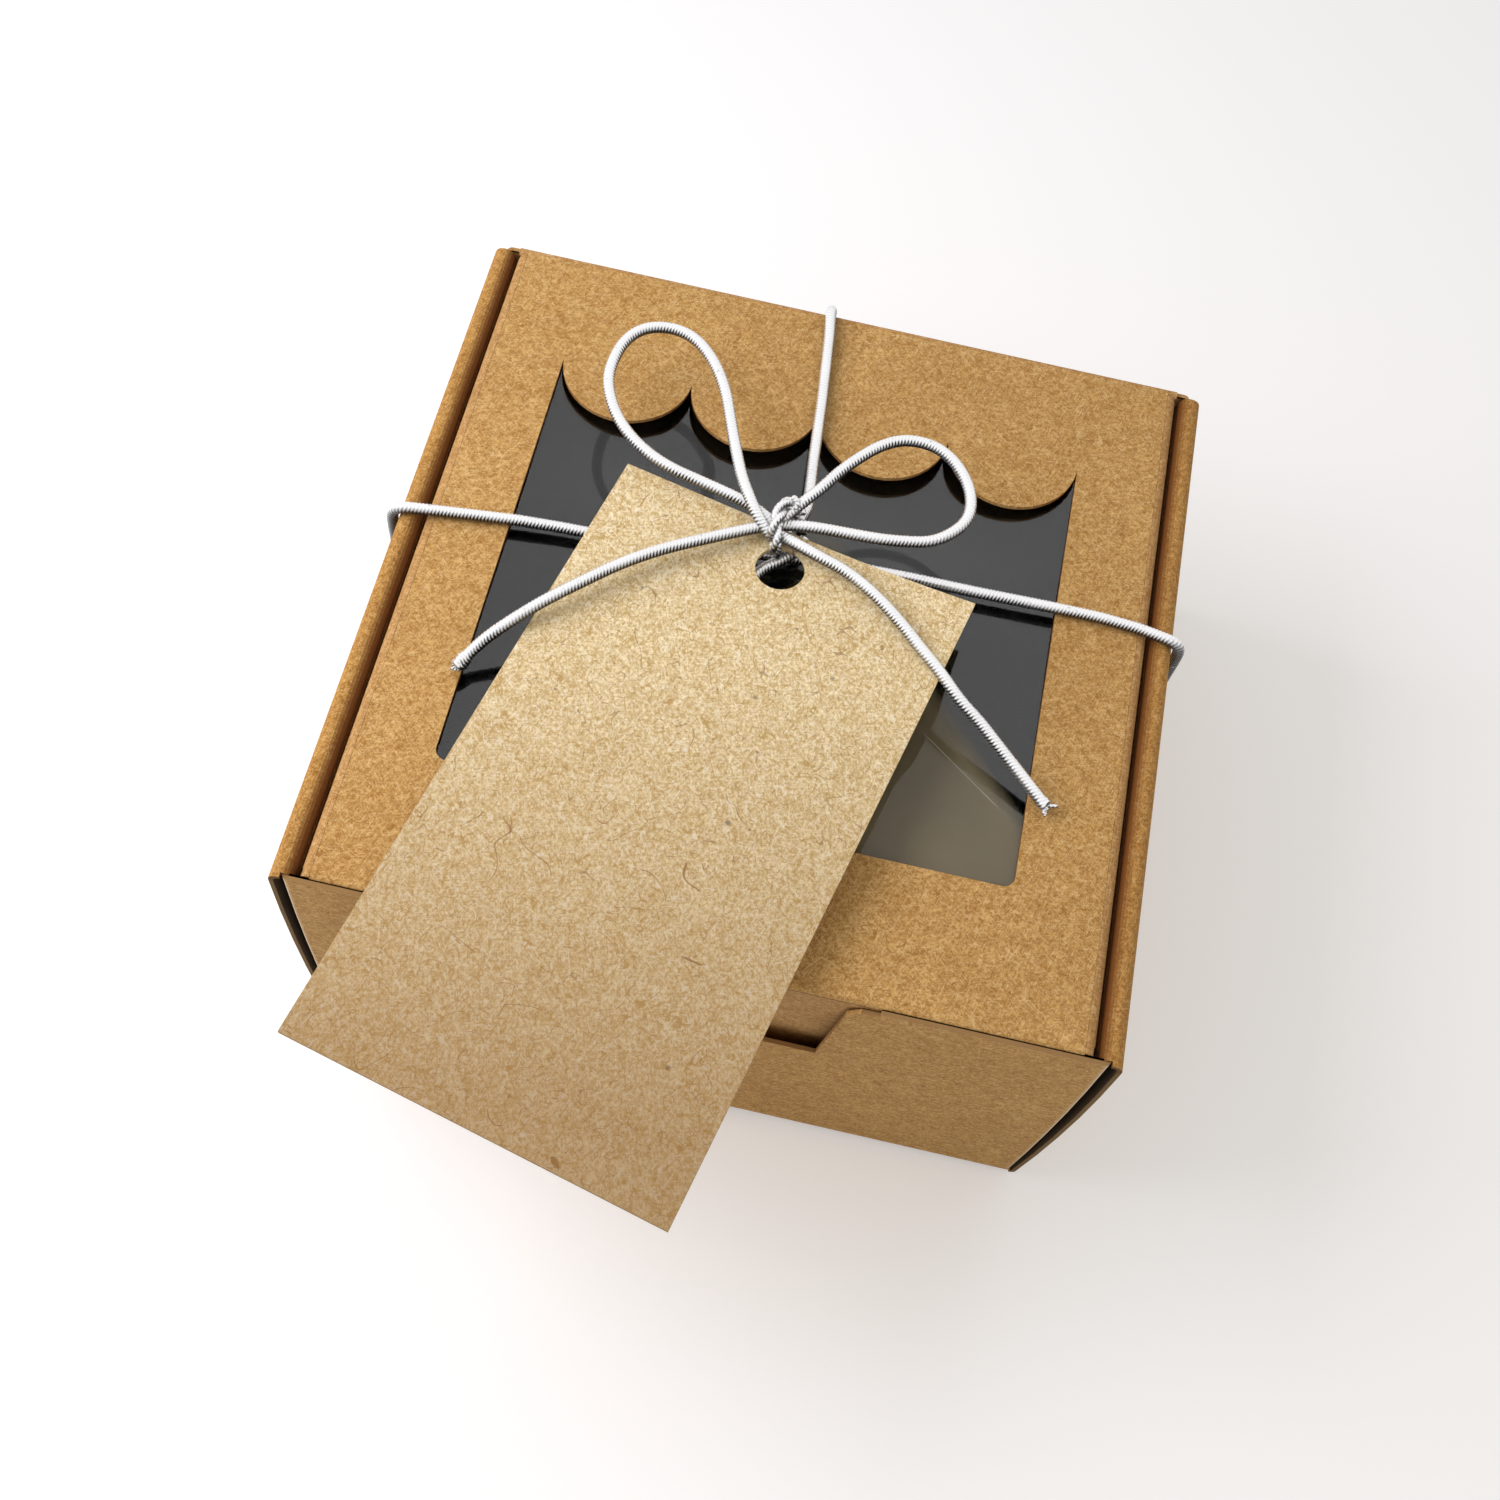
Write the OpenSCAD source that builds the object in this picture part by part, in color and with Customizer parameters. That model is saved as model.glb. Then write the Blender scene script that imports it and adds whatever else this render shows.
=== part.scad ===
/* [Box] */
// Overall width, over the rolled ridges of the two side walls
box_w = 80; // [72:1:110]
// Overall depth, from the front wall to the back wall
box_d = 79; // [72:1:110]
// Height from the underside of the base to the top of the lid
box_h = 38; // [32:1:60]
// Thickness of the kraft board
board = 0.45; // [0.35:0.05:0.5]

/* [Side walls] */
// Width of the rolled ridge on top of each side wall
ridge_w = 2.3; // [2.2:0.1:3]
// How far each outer side wall bows out from its foot to its top
wall_lean = 2.1; // [1.4:0.1:2.1]
// How far the corner flaps and inner side walls bow out from foot to top
flap_lean = 1.4; // [1.4:0.1:1.6]
// Length of the corner flaps tucked inside the side walls
corner_flap = 30; // [20:1:34]
// Width of each lock tab under the inner side walls
lock_tab_w = 14; // [8:1:18]

/* [Lid] */
// Gap between the lid's side and the inner side wall
lid_gap = 0.45; // [0.3:0.05:0.6]
// Depth of the dust flaps folded down from the lid's sides
dust_flap = 13; // [8:1:16]
// Depth of the tuck flap down to its second crease
tuck_depth = 16.5; // [12:0.5:18]
// Depth of the lip below the tuck flap's second crease
lip_depth = 4.5; // [3:0.5:6]
// Inward lean of the tuck flap
tuck_lean = 5; // [4.5:0.5:7]
// Inward lean of the lip
lip_lean = 7; // [6:1:12]

/* [Window] */
// Width of the window opening
window_w = 56.4; // [40:0.2:60]
// Distance from the box's middle to the window's front edge
window_front = 24.3; // [18:0.1:26]
// Distance from the box's middle to the points between the scallops
window_back = 25.6; // [20:0.1:27]
// Number of scallops along the back edge of the window
scallops = 4; // [3:1:5]
// How far each scallop reaches into the window
scallop_depth = 6.5; // [4:0.5:6.5]
// Thickness of the clear film
film_t = 0.12; // [0.1:0.02:0.3]

/* [Thumb notch] */
// Width of the notch at the top of the front wall
notch_w = 29; // [20:1:34]
// Width of the notch at its lower edge
notch_low_w = 26; // [16:1:28]
// Depth of the notch below the lid's top
notch_depth = 14.3; // [10:0.5:18]

/* [Foam pad] */
// Gap between the top of the lid and the top of the foam pad
foam_below = 3.4; // [3:0.2:6]

/* [Elastic cord] */
// Diameter of the elastic cord
cord_d = 1.2; // [1:0.1:1.2]
// Thickness of the cord where the box stands on it
under_d = 0.9; // [0.8:0.1:0.9]
// Clearance between the cord and the board
cord_gap = 0.2; // [0.15:0.05:0.3]

/* [Gift tag] */
// Width of the tag
tag_w = 38.4; // [30:0.2:46]
// Length of the tag
tag_l = 68; // [50:1:80]
// Thickness of the tag
tag_t = 0.5; // [0.3:0.1:0.5]
// Diameter of the tag's punched hole
hole_d = 5; // [4.6:0.1:6]
// Distance from the tag's top edge to the centre of the hole
hole_in = 4.4; // [4:0.1:4.6]
// Turn of the tag from straight down the lid
tag_turn = 13.6; // [6:0.1:20]

/* [Hidden] */
$fn = 48;

// heights, counted from the underside of the base
lid_top = box_h;
crease_z = lid_top - board;      // the lid's crease axes lie level with its underside
mid = board / 2;

// folds and walls, given by the middle of the board
fold_r = 0.5;                    // bend radius where a wall leaves the base
wall_y = box_d / 2 - mid;        // middle of the front and back walls
wall_foot = mid + fold_r;
outer_top_x = box_w / 2 - mid;
inner_x = box_w / 2 - ridge_w + mid;
flap_x = inner_x + board + 0.15; // middle of the corner flaps inside the side walls
corner_r = 0.4;
ridge_r = 0.85;                  // the roll is rounder on the side next to the lid
ridge_in_r = 0.95;
ridge_back = 0.8;                // the ridges and outer walls end short of the hinge
inner_len = box_d - 2 * board - 0.6;
ridge_out_z = lid_top - mid - ridge_r - 0.3;    // where the rolled ridge leaves each wall
ridge_in_z = lid_top - mid - ridge_in_r - 0.3;
levels = [for (k = [0:4]) wall_foot + (ridge_out_z - wall_foot) * k / 5];

// lid
lid_half = box_w / 2 - ridge_w - lid_gap;
lid_fold_r = 0.8;
plate_half = lid_half - mid - lid_fold_r;
hinge_y = box_d / 2 - board;     // back crease axis
tuck_y = -(box_d / 2 - 1);       // front crease axis
crease_gap = 0.04;
window_x = -0.6;                 // the window sits slightly to the left

// cord wrap
cord_x = box_w / 2 + cord_gap + cord_d / 2;
cord_y = box_d / 2 + cord_gap + cord_d / 2;
over_h = cord_gap + cord_d / 2;  // middle of the cord above the lid
left_y = 2;
right_y = 5.5;
back_x = -2;
front_x = -2;
cord_foot_x = cord_x - wall_lean; // the cord follows the bow of the side walls

// knot and tag, heights counted from the top of the lid
knot_at = [-1.2, 9.9, 3.4];
hole_at = [-0.75, 3.15, 3.1];
tag_pitch = 1.55;
tag_roll = 0.9;

over_x_route = [[-cord_x, left_y, -3], [-cord_x, left_y, -1], [-cord_x + 0.3, left_y, 0.2],
    [-cord_x + 1.3, left_y, over_h], [-30, 2.6, over_h], [-21, 3.5, over_h], [-12, 4.6, over_h],
    [-1, 6.1, over_h], [5, 6.8, over_h], [11, 6.8, over_h], [19, 6.2, over_h], [28, 6, over_h],
    [cord_x - 1.3, right_y, over_h], [cord_x - 0.3, right_y, 0.2], [cord_x, right_y, -1],
    [cord_x, right_y, -3]];
over_back_route = [[back_x, cord_y, -3], [back_x, cord_y, -1], [back_x, cord_y - 0.3, 0.2],
    [back_x, cord_y - 1.3, over_h], [-1.2, 32, over_h], [-0.2, 24, over_h], [0, 18, over_h],
    [-0.4, 14, 1.3], [-0.9, 11.9, 2.6]];
over_front_route = [[-2.6, 8, 2.15], [-2.6, 6.2, 2.05], [-2.6, 4, 1.6], [-2.5, 1, over_h],
    [-2.2, -8, over_h], [front_x, -20, over_h], [front_x, -30, over_h],
    [front_x, -cord_y + 1.3, over_h], [front_x, -cord_y + 0.3, 0.2],
    [front_x, -cord_y, -1], [front_x, -cord_y, -3]];
loop_left_route = [[-3.2, 10.4, 3.9], [-5.5, 11, 4.6], [-8, 13.5, 5.4], [-10, 19, 5.9],
    [-14, 25, 6], [-18.5, 27, 6], [-21.2, 26, 5.8], [-22.6, 22.5, 5.4], [-22.4, 18.5, 5.1],
    [-20, 14, 5], [-16, 10.5, 5], [-10.5, 9, 4.9], [-6, 8.8, 4.6], [-3.2, 9.2, 3.8]];
loop_right_route = [[0.8, 10.6, 3.9], [2, 13.2, 5], [3.6, 16.4, 5.8], [7, 19, 6.3],
    [11.5, 19.6, 6.4], [15, 17.6, 6.2], [16.5, 14.5, 6], [15.6, 10.6, 5.7], [13, 8.2, 5.4],
    [9.5, 7.5, 5.2], [5.5, 7.6, 5], [2.6, 8.4, 4.4], [0.8, 9.1, 3.7]];
tail_left_route = [[-2.5, 8, 4.5], [-5.5, 5.2, 4.9], [-9, 2.5, 5], [-13.5, -0.5, 4.9],
    [-18, -4.2, 4.6], [-23.4, -9.2, 4], [-27.2, -12.9, 2.3], [-29.8, -15.6, 0.95]];
tail_right_route = [[0.2, 8, 4.5], [4, 5.2, 4.9], [8.5, 2.2, 4.8], [12.5, -1, 4.7],
    [17.2, -6.6, 4.4], [22, -10.8, 2.6], [25.5, -13.7, 1.5], [29.5, -16.5, 0.95]];
tag_loop_route = [[-1.2, 7.9, 4.6], [-1.1, 5.8, 4.4], [-0.9, 4.4, 3.9], [-0.8, 3.9, 3.1],
    [-0.7, 4.3, 2.4], [-0.6, 5.4, 2.1], [-0.6, 6.4, 2.1], [-0.7, 7.9, 2.3]];

function unit(v) = v / norm(v);

// points of an arc about c from angle a to angle b
function arc(c, r, a, b, n = 6) = [for (i = [0:n]) c + r * [cos(a + (b - a) * i / n),
                                                            sin(a + (b - a) * i / n)]];

// sideways step at point i of a path that keeps the strip's thickness
function mitre(p, i) =
    let (a = unit(p[max(i, 1)] - p[max(i, 1) - 1]),
         b = i < len(p) - 1 ? unit(p[i + 1] - p[i]) : a,
         m = [-a[1], a[0]], n = [-b[1], b[0]])
    (m + n) / (1 + m * n);

function drop_level(p) = [p[0], p[1], p[2] + lid_top];
function place(route) = [for (p = route) drop_level(p)];

// a smooth curve through the points of a route, with k steps between points
function curve_at(a, b, c, d, t) = 0.5 * ((2 * b) + (c - a) * t
    + (2 * a - 5 * b + 4 * c - d) * t * t + (3 * b - a - 3 * c + d) * t * t * t);
function smooth(p, k) = let (n = len(p) - 1) [for (i = [0:n - 1], j = [0:k - 1])
    curve_at(p[max(i - 1, 0)], p[i], p[i + 1], p[min(i + 2, n)], j / k), p[n]];

function heading(p, i) = unit(p[min(i + 1, len(p) - 1)] - p[max(i - 1, 0)]);
function square_to(v, t) = unit(v - (v * t) * t);

// board folded along a path, seen from its edge
function edge_outline(p) = let (n = len(p) - 1)
    concat([for (i = [0:n]) p[i] + mitre(p, i) * mid], [for (i = [n:-1:0]) p[i] - mitre(p, i) * mid]);
module strip(p) polygon(edge_outline(p));

// sideways place at height z of a board that bows out to x at the ridge
function bowed(x, lean, z) = x - lean * pow(max(0, 1 - z / ridge_out_z), 2);
function bow(x, lean, zs) = [for (z = zs) [bowed(x, lean, z), z]];

// draws an x-z outline along y, and a y-z outline along x
module along_y(length) rotate([90, 0, 0]) linear_extrude(length, center = true) children();
module along_x(length) rotate([90, 0, 90]) linear_extrude(length, center = true) children();

// the run of the ridges and outer side walls, from the front to just short of the back
module side_run() translate([0, -ridge_back / 2, 0]) along_y(box_d - ridge_back) children();

// a solid through closed rings of points, one above the other
module loft(rings) {
    n = len(rings[0]);
    top = n * (len(rings) - 1);
    sides = [for (i = [0:len(rings) - 2], k = [0:n - 1]) let (a = i * n + k, b = i * n + (k + 1) % n)
        each [[a, b, b + n], [a, b + n, a + n]]];
    polyhedron([for (r = rings) each r],
        concat(sides, [[for (k = [n - 1:-1:0]) k], [for (k = [0:n - 1]) top + k]]));
}

// a sheet that bows like the side walls, cut to an outline seen from the side
module side_sheet(path, outline) intersection() {
    along_y(box_d) strip(path);
    translate([box_w / 2 - 3, 0, 0]) along_x(7) polygon(outline);
}

// a round cord swept along points
module cord(p, d, sides = 8) {
    n = len(p);
    start = abs(heading(p, 0)[2]) > 0.8 ? [1, 0, 0] : [0, 0, 1];
    ups = [for (i = 0, u = square_to(start, heading(p, 0)); i < n;
                i = i + 1, u = square_to(u, heading(p, min(i, n - 1)))) u];
    rings = [for (i = [0:n - 1], k = [0:sides - 1]) let (t = heading(p, i), u = ups[i])
        p[i] + d / 2 * (cos(360 * k / sides) * u + sin(360 * k / sides) * cross(t, u))];
    walls = [for (i = [0:n - 2], k = [0:sides - 1]) let (a = i * sides + k,
        b = i * sides + (k + 1) % sides) each [[a, b, a + sides], [b, b + sides, a + sides]]];
    polyhedron(rings, concat(walls, [[for (k = [sides - 1:-1:0]) k],
        [for (k = [0:sides - 1]) (n - 1) * sides + k]]));
}

// base with its front and back edges folded up, and slots for the lock tabs
module base_panel() color("#a87c4e") difference() {
    along_x(2 * (bowed(outer_top_x, wall_lean, wall_foot) - fold_r)) strip(concat(
        arc([-wall_y + fold_r, wall_foot], fold_r, 180, 270),
        arc([wall_y - fold_r, wall_foot], fold_r, -90, 0)));
    for (s = [-1, 1], t = [-1, 1])
        translate([s * bowed(inner_x, flap_lean, mid), t * box_d / 4, 0])
            cube([board + 0.14, lock_tab_w + 0.4, 3 * board], center = true);
}

// board rolled round a crease axis at the height of the lid's underside
module crease(y, half) along_x(2 * half)
    polygon([for (a = [0:15:345]) [y, crease_z] + board * [cos(a), sin(a)]]);

// front or back wall, between the corners that turn in below the ridges
module end_wall(top) difference() {
    loft([for (z = concat(levels, [top])) let (x = bowed(flap_x, flap_lean, z) - corner_r,
        y = -wall_y + corner_r, turn = concat(arc([-x, y], corner_r, 180, 270, 4),
                                              arc([x, y], corner_r, -90, 0, 4)))
        [for (q = edge_outline(turn)) [q[0], q[1], z]]]);
    for (s = [-1, 1]) translate([s * (flap_x + 0.6), -wall_y + mid + 1.05, lid_top + 0.2])
        cube(2, center = true);
}

module front_wall() color("#a87c4e") difference() {
    end_wall(lid_top - 0.3);
    translate([0, -wall_y, lid_top]) rotate([90, 0, 0]) linear_extrude(4, center = true)
        polygon([[-notch_w / 2 - 3, 1], [-notch_w / 2 - 3, -0.9], [-notch_w / 2 - 1.2, -1],
            [-notch_w / 2, -2.2], [-notch_low_w / 2, -notch_depth], [notch_low_w / 2, -notch_depth],
            [notch_w / 2, -2.2], [notch_w / 2 + 1.2, -1], [notch_w / 2 + 3, -0.9],
            [notch_w / 2 + 3, 1]]);
}

module back_wall() color("#a87c4e") {
    mirror([0, 1, 0]) end_wall(crease_z);
    crease(hinge_y, lid_half);
}

module corner_flap(s, t) color("#a87c4e") {
    y0 = wall_y - corner_r;
    mirror([s < 0 ? 1 : 0, 0, 0]) mirror([0, t < 0 ? 1 : 0, 0])
        side_sheet(bow(flap_x, flap_lean, concat(levels, [lid_top - 0.9])),
            [[y0, wall_foot - 1], [y0, lid_top], [y0 - 2, lid_top - 1.6],
             [y0 - corner_flap + 4, lid_top - 4], [y0 - corner_flap, lid_top - 8],
             [y0 - corner_flap, 6], [y0 - corner_flap + 3, 2.5], [y0 - 2, wall_foot + 0.4]]);
}

module outer_wall() color("#a87c4e") side_run() strip(concat(
    arc([bowed(outer_top_x, wall_lean, wall_foot) - fold_r, wall_foot], fold_r, -90, 0, 4),
    bow(outer_top_x, wall_lean, [for (i = [1:4]) levels[i]]),
    [[outer_top_x, ridge_out_z - 0.5], [outer_top_x, ridge_out_z]]));

// the board rolls over from the outer to the inner side wall, cut away behind the front wall
module ridge() color("#a87c4e") difference() {
    side_run() strip(concat([[outer_top_x, ridge_out_z]],
        arc([outer_top_x - ridge_r, lid_top - mid - ridge_r], ridge_r, 0, 90),
        arc([inner_x + ridge_in_r, lid_top - mid - ridge_in_r], ridge_in_r, 90, 180),
        [[inner_x, ridge_in_z]]));
    translate([flap_x + mid + 0.1 - 2, -(wall_y - mid - 0.05) - 2, lid_top - 3]) cube([2, 2, 4]);
}

// inner side wall, with two lock tabs that stand in the slots of the base
module inner_wall() color("#a87c4e") {
    foot = board + 0.05;
    half = inner_len / 2;
    near = box_d / 4 - lock_tab_w / 2;
    far = box_d / 4 + lock_tab_w / 2;
    side_sheet(bow(inner_x, flap_lean, concat([-0.5], levels, [ridge_in_z])),
        [[-half, lid_top], [-half, foot], [-far, foot], [-far, 0.1], [-near, 0.1], [-near, foot],
         [near, foot], [near, 0.1], [far, 0.1], [far, foot], [half, foot], [half, lid_top]]);
}

// foam with a rebate along its front that leaves room for the tucked flap
module foam_pad() color("#141414") {
    y0 = -(box_d / 2 - board - 0.5);
    y1 = box_d / 2 - board - 0.6;
    z0 = board + 0.1;
    z1 = lid_top - foam_below;
    step_y = tuck_y + 5.2;
    step_z = lid_top - tuck_depth - lip_depth - 1;
    along_x(2 * (inner_x - flap_lean - mid - 0.2))
        polygon([[y0, z0], [y1, z0], [y1, z1], [step_y, z1], [step_y, step_z], [y0, step_z]]);
}

// outline of the window: two rounded front corners, and scallops along the back edge
module window_outline() {
    pitch = window_w / scallops;
    sag = min(scallop_depth, pitch / 2 - 0.3);
    r = (pitch * pitch / 4 + sag * sag) / (2 * sag);
    tip = asin((r - sag) / r);
    corner = 1.2;
    left = window_x - window_w / 2;
    polygon(concat(
        arc([left + corner, corner - window_front], corner, 180, 270),
        arc([left + window_w - corner, corner - window_front], corner, 270, 360),
        [[left + window_w, window_back]],
        [for (i = [scallops - 1:-1:0], a = [1:20]) let (t = -tip - (180 - 2 * tip) * a / 20)
            [left + (i + 0.5) * pitch, window_back - sag + r] + r * [cos(t), sin(t)]]));
}

module lid_panel() color("#b5824c") difference() {
    union() {
        translate([-plate_half, tuck_y, crease_z])
            cube([2 * plate_half, hinge_y - tuck_y, board]);
        crease(tuck_y, plate_half);
    }
    translate([0, hinge_y, crease_z]) rotate([0, 90, 0])
        cylinder(h = box_w, r = board + crease_gap, center = true);
    translate([0, 0, crease_z - 1]) linear_extrude(3) window_outline();
}

// dust flap on the right side of the lid, with its fold
module dust_flap() color("#b5824c") {
    front = tuck_y + board + 0.2;
    back = hinge_y - board - 0.3;
    side_sheet(concat(arc([plate_half, lid_top - mid - lid_fold_r], lid_fold_r, 90, 0),
                      [[plate_half + lid_fold_r, lid_top - dust_flap]]),
        [[tuck_y - 0.3, lid_top + 1], [tuck_y - 0.3, crease_z], [front, crease_z], [front, crease_z - 1],
         [front + 6, lid_top - dust_flap + 3], [front + 9, lid_top - dust_flap - 1],
         [back - 8, lid_top - dust_flap - 1], [back - 5, lid_top - dust_flap + 3],
         [back, crease_z - 1], [back, crease_z], [back + 0.25, crease_z], [back + 0.25, lid_top + 1]]);
}

module window_film() color("#dfe4e6", 0.4)
    translate([window_x - window_w / 2 - 4, -window_front - 4, crease_z - film_t])
        cube([window_w + 8, window_front + window_back + 8, film_t]);

// middle of the board along the tuck flap, down to its second crease
tuck_start = [tuck_y - mid, crease_z];
tuck_end = tuck_start + tuck_depth * [sin(tuck_lean), -cos(tuck_lean)];
lip_end = tuck_end + lip_depth * [sin(lip_lean), -cos(lip_lean)];

module tuck_flap() color("#a87c4e") difference() {
    along_x(2 * lid_half - 0.6) strip([tuck_start, tuck_end]);
    translate([0, tuck_y, crease_z]) rotate([0, 90, 0])
        cylinder(h = box_w, r = board + crease_gap, center = true);
}

module tuck_lip() color("#a87c4e") {
    half = lid_half - 0.3;
    intersection() {
        along_x(2 * half) difference() {
            strip([tuck_end, lip_end]);
            translate(tuck_end) circle(mid);
        }
        translate([0, 0, tuck_end[1]]) rotate([90, 0, 0]) linear_extrude(box_d, center = true)
            polygon([[-half, 1], [-half, -1], [-half + 5, -lip_depth - 1],
                [half - 5, -lip_depth - 1], [half, -1], [half, 1]]);
    }
}

module strand_over_x() color("#c9cbd0") cord(place(over_x_route), cord_d);
module strand_over_back() color("#c9cbd0") cord(place(over_back_route), cord_d);
module strand_over_front() color("#c9cbd0") cord(place(over_front_route), cord_d);

// upright run of the cord down a wall, turned in under the base at its foot
module upright(run, inward) color("#c9cbd0") cord(concat(run, [run[len(run) - 1] - [0, 0, 0.8],
    run[len(run) - 1] - [0, 0, 1.4] + 0.3 * inward]), cord_d);
run_z = [lid_top - 3.1, lid_top - 10, levels[3], levels[2], levels[1], 1.6];

module strand_left() upright([for (z = run_z) [-bowed(cord_x, wall_lean, z), left_y, z]], [1, 0, 0]);
module strand_right() upright([for (z = run_z) [bowed(cord_x, wall_lean, z), right_y, z]], [-1, 0, 0]);
module strand_back() upright([for (z = run_z) [back_x, cord_y, z]], [0, -1, 0]);
module strand_front() upright([for (z = run_z) [front_x, -cord_y, z]], [0, 1, 0]);

under_z = -0.1 - under_d / 2;
under_x_route = [[-cord_foot_x + 0.7, left_y, under_z], [-20, 2.4, under_z],
    [0, 3.5, under_z], [20, 4.6, under_z], [cord_foot_x - 0.7, right_y, under_z]];
under_cross_y = 3.4;             // where the two under strands press against each other

module strand_under_x() color("#c9cbd0") cord(under_x_route, under_d);

// parted by the other under strand, which it is pressed against from both sides
module strand_under_y() color("#c9cbd0") for (s = [-1, 1]) {
    start = under_cross_y + s * (under_d / 2 + cord_d / 2 - 0.1);
    cord([[front_x, start, under_z], [front_x, s * 20, under_z],
          [front_x, s * (cord_y - 0.7), under_z]], under_d);
}

module bow_knot() color("#c9cbd0") translate(drop_level(knot_at)) rotate([0, 90, 0]) {
    for (s = [-1, 0, 1]) translate([0, 0, s * 0.95]) rotate_extrude() translate([0.9, 0]) circle(0.6);
    cylinder(h = 3, r = 0.9, center = true);
}

module bow_loop_left() color("#c9cbd0") cord(smooth(place(loop_left_route), 2), cord_d);
module bow_loop_right() color("#c9cbd0") cord(smooth(place(loop_right_route), 2), cord_d);
module bow_tail_left() color("#c9cbd0") cord(smooth(place(tail_left_route), 2), cord_d);
module bow_tail_right() color("#c9cbd0") cord(smooth(place(tail_right_route), 2), cord_d);
module tag_loop() color("#c9cbd0") cord(smooth(place(tag_loop_route), 2), 1);

module gift_tag() color("#b89f7a") translate(drop_level(hole_at)) rotate([tag_pitch, -tag_roll, 0])
    rotate([0, 0, -tag_turn]) linear_extrude(tag_t, center = true) difference() {
        translate([-tag_w / 2, hole_in - tag_l]) square([tag_w, tag_l]);
        circle(hole_d / 2);
    }

base_panel();
front_wall();
back_wall();
mirror([1, 0, 0]) outer_wall();  // left_outer_wall
outer_wall();  // right_outer_wall
mirror([1, 0, 0]) ridge();  // left_ridge
ridge();  // right_ridge
mirror([1, 0, 0]) inner_wall();  // left_inner_wall
inner_wall();  // right_inner_wall
corner_flap(-1, -1);  // front_left_corner_flap
corner_flap(1, -1);  // front_right_corner_flap
corner_flap(-1, 1);  // back_left_corner_flap
corner_flap(1, 1);  // back_right_corner_flap
foam_pad();
lid_panel();
mirror([1, 0, 0]) dust_flap();  // lid_left_flap
dust_flap();  // lid_right_flap
window_film();
tuck_flap();
tuck_lip();
strand_over_x();
strand_left();
strand_right();
strand_under_x();
strand_over_back();
strand_over_front();
strand_back();
strand_front();
strand_under_y();
bow_knot();
bow_loop_left();
bow_loop_right();
bow_tail_left();
bow_tail_right();
tag_loop();
gift_tag();
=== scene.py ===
import math

import bmesh
import bpy
from mathutils import Matrix, Vector, noise


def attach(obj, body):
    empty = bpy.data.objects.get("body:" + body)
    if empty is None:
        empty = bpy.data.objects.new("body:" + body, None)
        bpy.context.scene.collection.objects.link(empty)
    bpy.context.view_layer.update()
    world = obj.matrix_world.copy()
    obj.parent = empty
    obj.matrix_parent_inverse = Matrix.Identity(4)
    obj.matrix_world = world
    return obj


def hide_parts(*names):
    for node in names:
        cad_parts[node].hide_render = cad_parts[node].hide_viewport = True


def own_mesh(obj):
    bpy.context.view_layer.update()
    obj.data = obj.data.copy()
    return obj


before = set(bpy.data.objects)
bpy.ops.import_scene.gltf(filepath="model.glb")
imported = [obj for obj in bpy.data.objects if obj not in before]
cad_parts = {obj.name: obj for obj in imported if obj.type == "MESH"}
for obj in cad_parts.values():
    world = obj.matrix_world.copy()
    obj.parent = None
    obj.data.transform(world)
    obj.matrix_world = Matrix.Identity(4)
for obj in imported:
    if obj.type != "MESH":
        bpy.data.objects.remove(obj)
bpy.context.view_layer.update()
# sizes and routes are in mm; the camera, lamps, floorSize, edgeReach and the shifts of patterns are in metres
mm = 0.001
lidTop = 38
noise.seed_set(5)  # the foam's dents come out the same each time

# camera, close above the front of the box and turned a little to the left
cameraSettings = {"place": (0.0038596, -0.0995516, 0.1957594), "turn": (27.51386, -4.92014, 11.74717),
                  "lens": 44.291, "sensor": 36, "nearest": 0.005}
cameraData = bpy.data.cameras.new("boxCamera")
cameraData.lens = cameraSettings["lens"]
cameraData.sensor_width = cameraSettings["sensor"]
cameraData.clip_start = cameraSettings["nearest"]
boxCamera = bpy.data.objects.new("boxCamera", cameraData)
boxCamera.location = cameraSettings["place"]
boxCamera.rotation_euler = [math.radians(a) for a in cameraSettings["turn"]]
bpy.context.collection.objects.link(boxCamera)
bpy.context.scene.camera = boxCamera
bpy.context.scene.view_settings.view_transform = "Standard"
print("camera set")


def colour(hexText):
    # sRGB hex to linear
    parts = [int(hexText[i:i + 2], 16) / 255 for i in (1, 3, 5)]
    return [c / 12.92 if c <= 0.04045 else ((c + 0.055) / 1.055) ** 2.4 for c in parts] + [1]


def addNode(tree, kind, settings=None, inputs=()):
    # an input is a value, a socket or a node, given by its socket's name or number, or in their order
    node = tree.nodes.new("ShaderNode" + kind)
    for name, value in (settings or {}).items():
        setattr(node, name, value)
    for socket, value in inputs.items() if isinstance(inputs, dict) else enumerate(inputs):
        if isinstance(value, bpy.types.Node):
            value = value.outputs[0]
        if isinstance(value, bpy.types.NodeSocket):
            tree.links.new(value, node.inputs[socket])
        else:
            node.inputs[socket].default_value = value
    return node


times = {"operation": "MULTIPLY"}
larger = {"operation": "MAXIMUM"}
unsigned = {"operation": "ABSOLUTE"}
ofColours = {"data_type": "RGBA"}


def newMaterial(name):
    material = bpy.data.materials.new(name)
    material.use_nodes = True
    tree = material.node_tree
    tree.nodes.clear()
    return material, tree


def finishMaterial(tree, shader):
    addNode(tree, "OutputMaterial", inputs={"Surface": shader})


def layered(tree, base, layers):
    # tints over a base, each laid on by its own share
    tone = colour(base)
    for share, tint in layers:
        tone = addNode(tree, "Mix", ofColours, {0: share, 6: tone, 7: colour(tint)}).outputs[2]
    return tone


def finishMatte(tree, look, tone, height):
    # a surface with hardly any gloss, whose relief follows its grain or pores
    bump = addNode(tree, "Bump", inputs={"Strength": look["bump"], "Distance": look["relief"] * mm,
                                         "Height": height})
    finishMaterial(tree, addNode(tree, "BsdfPrincipled", inputs={
        "Base Color": tone, "Roughness": look["roughness"], "Specular IOR Level": look["gloss"],
        "Normal": bump}))


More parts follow.
